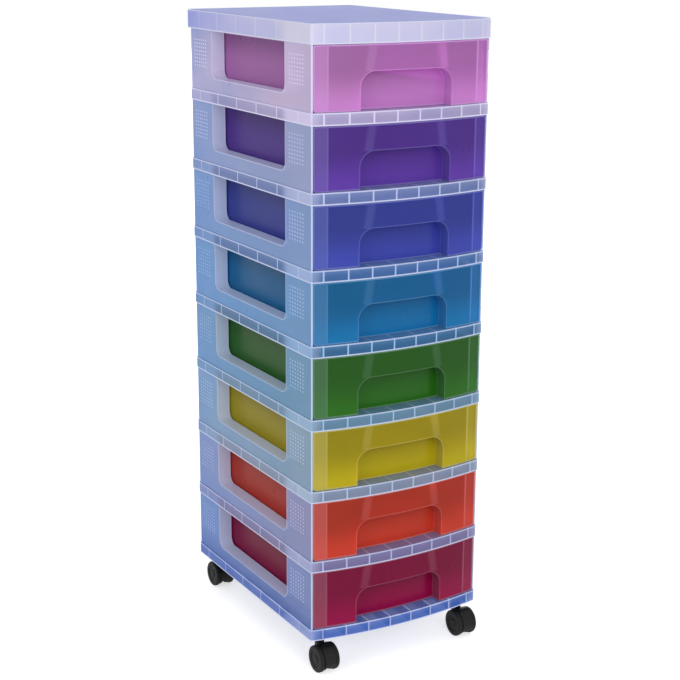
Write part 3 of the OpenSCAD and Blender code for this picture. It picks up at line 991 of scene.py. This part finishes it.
def dome_points(radius, height, sink, rings=2, sides=8):
    """A dot as a closed shell, standing along +X: r = radius sin(t) and x = height cos(t) for t from
    0 to a quarter turn, then a flat foot at -sink. Returns its points and faces."""
    turn = np.arange(sides) * 2 * np.pi / sides
    t = np.linspace(0, np.pi / 2, rings + 1)[1:]
    r = np.append(radius * np.sin(t), radius)
    x = np.append(height * np.cos(t), -sink)
    circles = np.stack([
        np.repeat(x[:, None], sides, 1), r[:, None] * np.cos(turn), r[:, None] * np.sin(turn)
    ], axis=-1).reshape(-1, 3)
    points = np.vstack([[height, 0, 0], circles, [-sink, 0, 0]])
    i = np.arange(sides)
    j = (i + 1) % sides
    count = len(r)
    cap = np.stack([np.zeros(sides, int), 1 + i, 1 + j], 1)
    last = 1 + (count - 1) * sides
    foot = np.stack([np.full(sides, len(points) - 1), last + j, last + i], 1)
    upper = 1 + np.arange(count - 1)[:, None] * sides
    lower = upper + sides
    bands = np.stack([upper + i, lower + i, lower + j, upper + j], -1).reshape(-1, 4)
    return points, np.vstack([cap, foot]), bands


def dot_centres(settings, level):
    """Where a level's dots stand on a side wall: the Y and Z of two patches of rows and columns, one
    measured from the wall's front edge and one from its back."""
    low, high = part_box(f"walls_{level}")
    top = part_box(f"deck_{level}")[0].z + TIER
    along = np.linspace(0, settings.patch_length, settings.columns)
    z = top - settings.from_top - np.linspace(0, settings.patch_height, settings.rows)
    y = np.concatenate([low.y + settings.from_front + along, high.y - settings.from_back - along])
    return (grid.ravel() for grid in np.meshgrid(y, z))


def level_dots(settings, level, material):
    """All the dots of one level as one piece: one dome repeated by adding each centre to it, mirrored
    for the left wall."""
    points, triangles, quads = dome_points(settings.radius, settings.height, DOT_SINK)
    y, z = dot_centres(settings, level)
    wall_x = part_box(f"walls_{level}")[1].x
    all_points, all_triangles, all_quads, start = [], [], [], 0
    for sign in SIDES.values():
        centres = np.stack([np.full(len(y), sign * wall_x), y, z], 1)
        dome = points * [sign, 1, 1]
        placed = (centres[:, None, :] + dome[None, :, :]).reshape(-1, 3)
        offsets = start + np.arange(len(centres))[:, None, None] * len(points)
        order = slice(None) if sign > 0 else slice(None, None, -1)
        all_points.append(placed)
        all_triangles.append((triangles[:, order][None] + offsets).reshape(-1, 3))
        all_quads.append((quads[:, order][None] + offsets).reshape(-1, 4))
        start += len(placed)
    mesh = bpy.data.meshes.new(f"level_{level}_dots")
    faces = np.vstack(all_triangles).tolist() + np.vstack(all_quads).tolist()
    mesh.from_pydata(np.vstack(all_points), [], faces)
    mesh.polygons.foreach_set("use_smooth", np.ones(len(mesh.polygons), bool))
    mesh.update()
    piece = bpy.data.objects.new(f"level_{level}_dots", mesh)
    return link_piece(piece, "tower", [material])


# ---- Operators ----

class TOWER_OT_mouldings(bpy.types.Operator):
    """Finish the milky levels and the cover"""

    bl_idname = "tower.mouldings"
    bl_label = "Levels and Cover"

    def execute(self, context):
        settings, drawers = context.scene.tower_body, context.scene.tower_drawers
        for level in range(1, LEVELS + 1):
            name, deck = f"level_{level}", f"deck_{level}"
            rgb = body_colour(settings, drawers, level)
            # Painted shade: the colour towards the back, and the darker panels between the ribs, tinted
            # by the drawers above and below.
            deep = blended(rgb, settings.deep, DEEP_AND_SHADE_SHARE)
            light = {"Underside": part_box(deck)[0].z, "Panel_Depth": PANEL_SHADES[level - 1]}
            if level < LEVELS:
                over, under = (getattr(drawers, slot) for slot in DRAWER_SLOTS[level - 1:level + 1])
                coloured = blended(deep, blended(over, under, 0.5), DRAWER_SHADE)
                shaded = blended(coloured, BLACK, settings.shade)
            else:
                shaded = tuple(settings.foot)
                light["Foot_Height"] = LAST_FOOT
            material = body_material(settings, name, rgb, deep, shaded, settings.haze, light, BODY_GLOSS)
            moulding(name, [deck, f"walls_{level}"], material, settings.edge_round)
        light = {
            "Underside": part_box("top_cover")[0].z, "Plate_Top": COVER_TOP,
            "Panel_Depth": COVER_PANEL, "Top_Depth": 1.0,
        }
        # Painted shade of the cover, on its flat top and towards its back.
        flat = tuple(settings.cover_shade)
        material = body_material(
            settings, "cover", tuple(settings.cover), flat, flat, settings.cover_haze, light, COVER_GLOSS
        )
        moulding("cover", ["top_cover"], material, settings.edge_round, settings.crown)
        return {"FINISHED"}


class TOWER_OT_drawers(bpy.types.Operator):
    """Finish the tinted drawers"""

    bl_idname = "tower.drawers"
    bl_label = "Drawers"

    def execute(self, context):
        settings = context.scene.tower_drawers
        for level, slot in enumerate(DRAWER_SLOTS, start=1):
            node = f"drawer_{level}"
            material = drawer_material(settings, slot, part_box(node)[0].z)
            moulding(f"{slot}_drawer", [node], material, settings.edge_round)
        return {"FINISHED"}


class TOWER_OT_dots(bpy.types.Operator):
    """Raise the grip dots on the side walls"""

    bl_idname = "tower.dots"
    bl_label = "Grip Dots"

    def execute(self, context):
        body = context.scene.tower_body
        for level in range(1, LEVELS + 1):
            rgb = body_colour(body, context.scene.tower_drawers, level)
            material = dot_material(body, f"level_{level}", rgb)
            level_dots(context.scene.tower_dots, level, material)
        return {"FINISHED"}


class TOWER_OT_casters(bpy.types.Operator):
    """Finish the casters"""

    bl_idname = "tower.casters"
    bl_label = "Casters"

    def execute(self, context):
        settings = context.scene.tower_casters
        shell = dark_plastic("caster_shell", tuple(settings.shell), roughness=0.45, dust=0.06)
        tread = dark_plastic("caster_tread", tuple(settings.tread), roughness=0.6, dust=0.1)
        steel = zinc_steel("caster_steel", tuple(settings.steel))
        for place in CASTERS:
            hood = f"caster_{place}_hood"
            moulding(f"{place}_mudguard", [hood], shell, settings.edge_round)
            for side in SIDES:
                node = f"caster_{place}_wheel_{side}"
                moulding(f"{place}_{side}_wheel", [node], tread, settings.edge_round)
            for part in ("stem", "axle"):
                materials = frame["nodes"][f"caster_{place}_{part}"].data.materials
                materials.clear()
                materials.append(steel)
        return {"FINISHED"}


def area_light(name, place, target, size, power):
    """A soft square light at a place, turned to a target."""
    lamp = bpy.data.lights.new(name, "AREA")
    lamp.shape = "SQUARE"
    lamp.size = size
    lamp.energy = power
    light = bpy.data.objects.new(name, lamp)
    light.location = place
    light.rotation_euler = (Vector(target) - Vector(place)).to_track_quat("-Z", "Y").to_euler()
    bpy.context.scene.collection.objects.link(light)


def looked_at(tree):
    """1 where the camera, gloss or glass looks, 0 for other light."""
    path = add_node(tree, "ShaderNodeLightPath")
    kinds = ("Camera", "Glossy", "Transmission")
    return any_of(tree, *(path.outputs[f"Is {kind} Ray"] for kind in kinds))


def floor_material(rgb):
    """A plain floor: its own colour under the lights, lifted to white for what the camera sees."""
    material, tree, solid = new_material("studio_floor")
    solid.inputs["Base Color"].default_value = opaque(rgb)
    solid.inputs["Roughness"].default_value = 0.9
    solid.inputs["Emission Color"].default_value = opaque(WHITE)
    away = add_node(tree, "ShaderNodeVectorMath", operation="LENGTH")
    tree.links.new(add_node(tree, "ShaderNodeTexCoord").outputs["Object"], away.inputs[0])
    whiter = times(tree, ramp(tree, away.outputs["Value"], *FLOOR_NEAR), 1 - FLOOR_LIFT)
    lift = times(tree, looked_at(tree), plus(tree, whiter, FLOOR_LIFT))
    tree.links.new(lift, solid.inputs["Emission Strength"])
    return material


def studio_world(strength):
    """Even light from all round, and plain white where the camera, gloss or glass looks."""
    world = bpy.data.worlds.new("studio_world")
    world.use_nodes = True
    tree = world.node_tree
    background = tree.nodes["Background"]
    background.inputs["Color"].default_value = opaque(WHITE)
    seen = looked_at(tree)
    lit = times(tree, inverse(tree, seen), strength)
    tree.links.new(plus(tree, lit, seen), background.inputs["Strength"])
    bpy.context.scene.world = world


class TOWER_OT_studio(bpy.types.Operator):
    """Set up the floor, the lights and the camera"""

    bl_idname = "tower.studio"
    bl_label = "Studio"

    def execute(self, context):
        settings = context.scene.tower_stage
        scene = context.scene
        bpy.ops.mesh.primitive_circle_add(vertices=96, radius=FLOOR_RADIUS, fill_type="NGON")
        floor = context.object
        floor.name = "studio_floor"
        floor.data.materials.append(floor_material(tuple(settings.floor)))
        middle = (CAD_BOX[0] + CAD_BOX[1]) / 2
        for name, (place, width) in LIGHTS.items():
            area_light(name, place, middle, width, getattr(settings, f"{name}_power"))
        studio_world(settings.sky)
        data = bpy.data.cameras.new("camera")
        data.lens = settings.lens
        data.sensor_width = 36.0
        data.clip_end = 100.0
        camera = bpy.data.objects.new("camera", data)
        camera.location = settings.camera_place
        turn = Euler((math.pi / 2 - settings.camera_pitch, 0.0, -settings.camera_yaw))
        turn.rotate_axis("Z", settings.camera_roll)
        camera.rotation_euler = turn
        scene.collection.objects.link(camera)
        scene.camera = camera
        scene.view_settings.view_transform = "Standard"
        scene.cycles.transparent_max_bounces = 64
        return {"FINISHED"}


OPERATORS = (
    TOWER_OT_studio, TOWER_OT_mouldings, TOWER_OT_drawers, TOWER_OT_dots, TOWER_OT_casters,
)


class TOWER_PT_panel(bpy.types.Panel):
    """Lists the tower's settings and the steps that build it"""

    bl_idname = "TOWER_PT_panel"
    bl_label = "Drawer Tower"
    bl_space_type = "VIEW_3D"
    bl_region_type = "UI"
    bl_category = "Drawer Tower"

    def draw(self, context):
        for group in SETTINGS:
            box = self.layout.box()
            settings = getattr(context.scene, group)
            for key in settings.__annotations__:
                box.prop(settings, key)
        for operator in OPERATORS:
            self.layout.operator(operator.bl_idname)


CLASSES = (*SETTINGS.values(), *OPERATORS, TOWER_PT_panel)


def register():
    for cls in CLASSES:
        bpy.utils.register_class(cls)
    for name, cls in SETTINGS.items():
        setattr(bpy.types.Scene, name, PointerProperty(type=cls))


def unregister():
    for name in SETTINGS:
        delattr(bpy.types.Scene, name)
    for cls in reversed(CLASSES):
        bpy.utils.unregister_class(cls)


def main():
    register()
    bpy.ops.tower.studio()
    bpy.ops.tower.mouldings()
    bpy.ops.tower.drawers()
    bpy.ops.tower.dots()
    bpy.ops.tower.casters()


if __name__ == "__main__":
    main()
